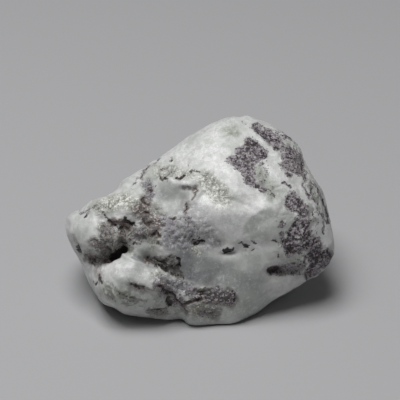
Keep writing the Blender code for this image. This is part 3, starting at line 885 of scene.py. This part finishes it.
def grained(graph, kind, grain):
    """A colour that runs through a zone's three tones as the grain value goes from 0 to 1."""
    dark, middle, light = TONES[kind]
    lower = graph.mix(graph.remap(grain, *DARK_TO_MIDDLE), dark, middle)
    return graph.mix(graph.remap(grain, *MIDDLE_TO_LIGHT), lower, light)


def stone_patterns(graph):
    """The patterns that the stone's colours and bumps share, by name."""
    place = graph.place()
    coarse = graph.speckle(place, COARSE_GRAIN_SIZE, detail=3, distortion=0.3)
    fine = graph.speckle(place, FINE_GRAIN_SIZE, detail=2)
    blocks = graph.math("SUBTRACT", graph.crystals(place, BLOCK_SIZE), 0.5)
    blocks = graph.math("MULTIPLY", blocks, BLOCK_CONTRAST)
    noisy = graph.math("MULTIPLY_ADD", coarse, COARSE_SHARE, graph.math("MULTIPLY", fine, FINE_SHARE))
    noisy = graph.math("MULTIPLY_ADD", blocks, graph.share("coarse"), noisy)
    knob_shade = graph.remap(graph.share("knob"), *KNOB_RANGE, -KNOB_SHADE, KNOB_SHADE)
    grain = graph.math("ADD", noisy, knob_shade)
    broken = graph.remap(grain, *GRAIN_RANGE, -EDGE_BREAK, EDGE_BREAK)
    return {"place": place, "coarse": coarse, "fine": fine, "blocks": blocks,
            "grain": grain, "broken": broken}


def pectolite_colour(graph, patterns):
    """Milky to grey-green pectolite with its kinds of zone, each breaking up at its edge."""
    cloud = graph.speckle(patterns["place"], CLOUD_SIZE, detail=4, distortion=0.4)
    body = graph.mix(graph.remap(cloud, *CLOUD_RANGE), PALE, PALE_LIGHT)
    for kind in ZONE_KINDS:
        share = graph.share(kind)
        edge = graph.math("ADD", share, graph.math("MULTIPLY", patterns["broken"], share))
        body = graph.mix(edge, body, grained(graph, kind, patterns["grain"]))
    return body


def with_mottling(graph, patterns, body):
    """Grey blotches, faint everywhere and strong in the mottled zones."""
    blotches = graph.speckle(patterns["place"], MOTTLE_SIZE, detail=5, distortion=0.8)
    mottling = graph.remap(blotches, *MOTTLE_RANGE)
    amount = graph.remap(graph.share("mottled"), 0.0, 1.0, FAINTEST_MOTTLE, STRONGEST_MOTTLE)
    return graph.mix(graph.math("MULTIPLY", mottling, amount), body, MOTTLE)


def with_glints(graph, patterns, body):
    """Painted sparkle highlights, and partly pale specks: small bright grains where the surface is coarse."""
    glints = graph.math("MULTIPLY", graph.remap(patterns["fine"], *GLINT_RANGE), graph.share("coarse"))
    return graph.mix(graph.math("MULTIPLY", glints, GLINT_STRENGTH), body, GLINT)


def rock_colour(graph, patterns, depth):
    """Speckled matrix rock, darker in its cores and along its rim, with pale crystals."""
    matrix = graph.share("matrix")
    deepest = graph.remap(matrix, *CORE_RANGE, *CORE_SHADE)
    speckles = graph.speckle(patterns["place"], ROCK_GRAIN_SIZE, detail=3, distortion=0.6)
    grain = graph.math("ADD", speckles, graph.math("ADD", deepest, patterns["blocks"]))
    rock = grained(graph, "matrix", grain)
    rock = graph.mix(graph.remap(depth, *ROCK_RIM_RANGE, ROCK_RIM_STRENGTH, 0.0), rock, ROCK_RIM)
    return graph.mix(graph.share("crystal"), rock, CRYSTAL)


def with_rock(graph, patterns, body):
    """Matrix rock with a ragged edge, and a pale greyness about it."""
    depth = graph.math("ADD", graph.share("matrix"), patterns["broken"])
    halo = graph.remap(graph.share("matrix"), *HALO_RANGE, 0.0, HALO_STRENGTH)
    body = graph.mix(halo, body, ROCK_PALE)
    return graph.mix(graph.remap(depth, *ROCK_RANGE), body, rock_colour(graph, patterns, depth))


def with_cracks_and_crease_shade(graph, patterns, body):
    """Dark hairlines, and painted shade that darkens the creases between knobs, where the surface is coarse.
    """
    from_line = graph.math("ABSOLUTE", graph.math("SUBTRACT", patterns["coarse"], 0.5))
    hairline = graph.remap(from_line, HAIRLINE, 0.0)
    # Painted shade: darker in the creases between knobs.
    crease = graph.remap(graph.share("knob"), *CREASE_RANGE)
    amount = graph.remap(graph.share("coarse"), *CRACK_AND_CREASE_SHADE_RANGE, 0.0, CRACK_AND_CREASE_SHADE_STRENGTH)
    return graph.mix(graph.math("MULTIPLY", graph.math("MAXIMUM", hairline, crease), amount), body, DIRT_AND_PAINTED_SHADE)


def with_pits(graph, patterns, body):
    """A stain about each pit and near-black in it: real dark specks, and in part painted shade in the deep
    hollows and shallow recesses.
    """
    ragged = graph.math("MULTIPLY", patterns["broken"], PIT_RAGGED)
    dark = graph.math("ADD", graph.share("pit"), ragged)
    # Painted shade in part: recesses get the stain tone and deep hollows near-black.
    body = graph.mix(graph.remap(dark, *STAIN_AND_SHADE_RANGE, 0.0, STAIN_AND_SHADE_STRENGTH), body, STAIN_AND_PAINTED_SHADE)
    return graph.mix(graph.remap(dark, *DIRT_AND_SHADE_RANGE), body, DIRT_AND_PAINTED_SHADE)


def set_surface(graph, patterns):
    """Waxy where the stone is smooth, dull and bumpy where it is coarse, and faintly translucent."""
    coarse = graph.share("coarse")
    graph.feed(graph.shader.inputs["Roughness"], graph.remap(coarse, *DULL_RANGE, *ROUGHNESS))
    height = graph.math("MULTIPLY", patterns["grain"], coarse)
    inputs = [("Strength", 1.0), ("Distance", BUMP_HEIGHT * MM), ("Height", height)]
    bumps = graph.node("ShaderNodeBump", inputs)
    graph.feed(graph.shader.inputs["Normal"], bumps.outputs["Normal"])
    graph.shader.inputs["Subsurface Weight"].default_value = TRANSLUCENCE
    graph.shader.inputs["Subsurface Radius"].default_value = (1.0, 1.0, 1.0)
    graph.shader.inputs["Subsurface Scale"].default_value = LIGHT_REACH * MM


def stone_material():
    """Milky to grey-green pectolite with speckled matrix rock, rusty and lilac grainy zones and dark pits."""
    graph = Graph("larimar_stone")
    patterns = stone_patterns(graph)
    body = pectolite_colour(graph, patterns)
    for layer in (with_mottling, with_glints, with_rock, with_cracks_and_crease_shade, with_pits):
        body = layer(graph, patterns, body)
    graph.feed(graph.shader.inputs["Base Color"], body)
    set_surface(graph, patterns)
    return graph.material


def floor_material():
    """Plain dull grey card."""
    graph = Graph("floor_card")
    graph.shader.inputs["Base Color"].default_value = FLOOR_GREY
    graph.shader.inputs["Roughness"].default_value = 0.9
    graph.shader.inputs["Specular IOR Level"].default_value = 0.2
    return graph.material


def add_floor():
    """A plain floor, level with the stone's rest."""
    half = FLOOR_HALF
    mesh = bpy.data.meshes.new("floor")
    corners = [(-half, -half, 0), (half, -half, 0), (half, half, 0), (-half, half, 0)]
    mesh.from_pydata(corners, [], [(0, 1, 2, 3)])
    mesh.materials.append(floor_material())
    floor = bpy.data.objects.new("floor", mesh)
    bpy.context.scene.collection.objects.link(floor)


def add_light():
    """One soft lamp overhead, a little to the front left, and a dim even surround."""
    lamp = bpy.data.lights.new("lamp", "AREA")
    lamp.size = LAMP_SIZE
    lamp.energy = LAMP_POWER
    holder = bpy.data.objects.new("lamp", lamp)
    holder.location = LAMP_PLACE
    holder.rotation_euler = Vector(holder.location).to_track_quat("Z", "Y").to_euler()
    bpy.context.scene.collection.objects.link(holder)
    world = bpy.data.worlds.new("surround")
    world.use_nodes = True
    surround = world.node_tree.nodes["Background"]
    surround.inputs["Color"].default_value = WHITE
    surround.inputs["Strength"].default_value = SURROUND_STRENGTH
    bpy.context.scene.world = world


def add_camera():
    """The photograph's view, shifted so that AIM lies at AIM_PIXEL."""
    data = bpy.data.cameras.new("camera")
    data.lens = LENS
    data.sensor_width = SENSOR
    data.clip_start = NEAREST_SEEN
    data.shift_x = (FRAME_PIXELS / 2 - AIM_PIXEL[0]) / FRAME_PIXELS
    data.shift_y = (AIM_PIXEL[1] - FRAME_PIXELS / 2) / FRAME_PIXELS
    camera = bpy.data.objects.new("camera", data)
    camera.location = CAMERA_PLACE * MM
    camera.rotation_euler = Vector(TO_CAMERA).to_track_quat("Z", "Y").to_euler()
    bpy.context.scene.collection.objects.link(camera)
    bpy.context.scene.camera = camera


def main():
    """The dressed stone on its floor, under its light and before its camera."""
    skin = dressed_skin(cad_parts["larimar"])
    skin.data.materials.clear()
    skin.data.materials.append(stone_material())
    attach(skin, "root")
    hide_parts("larimar")
    add_floor()
    add_light()
    add_camera()
    bpy.context.scene.view_settings.view_transform = "Standard"


main()
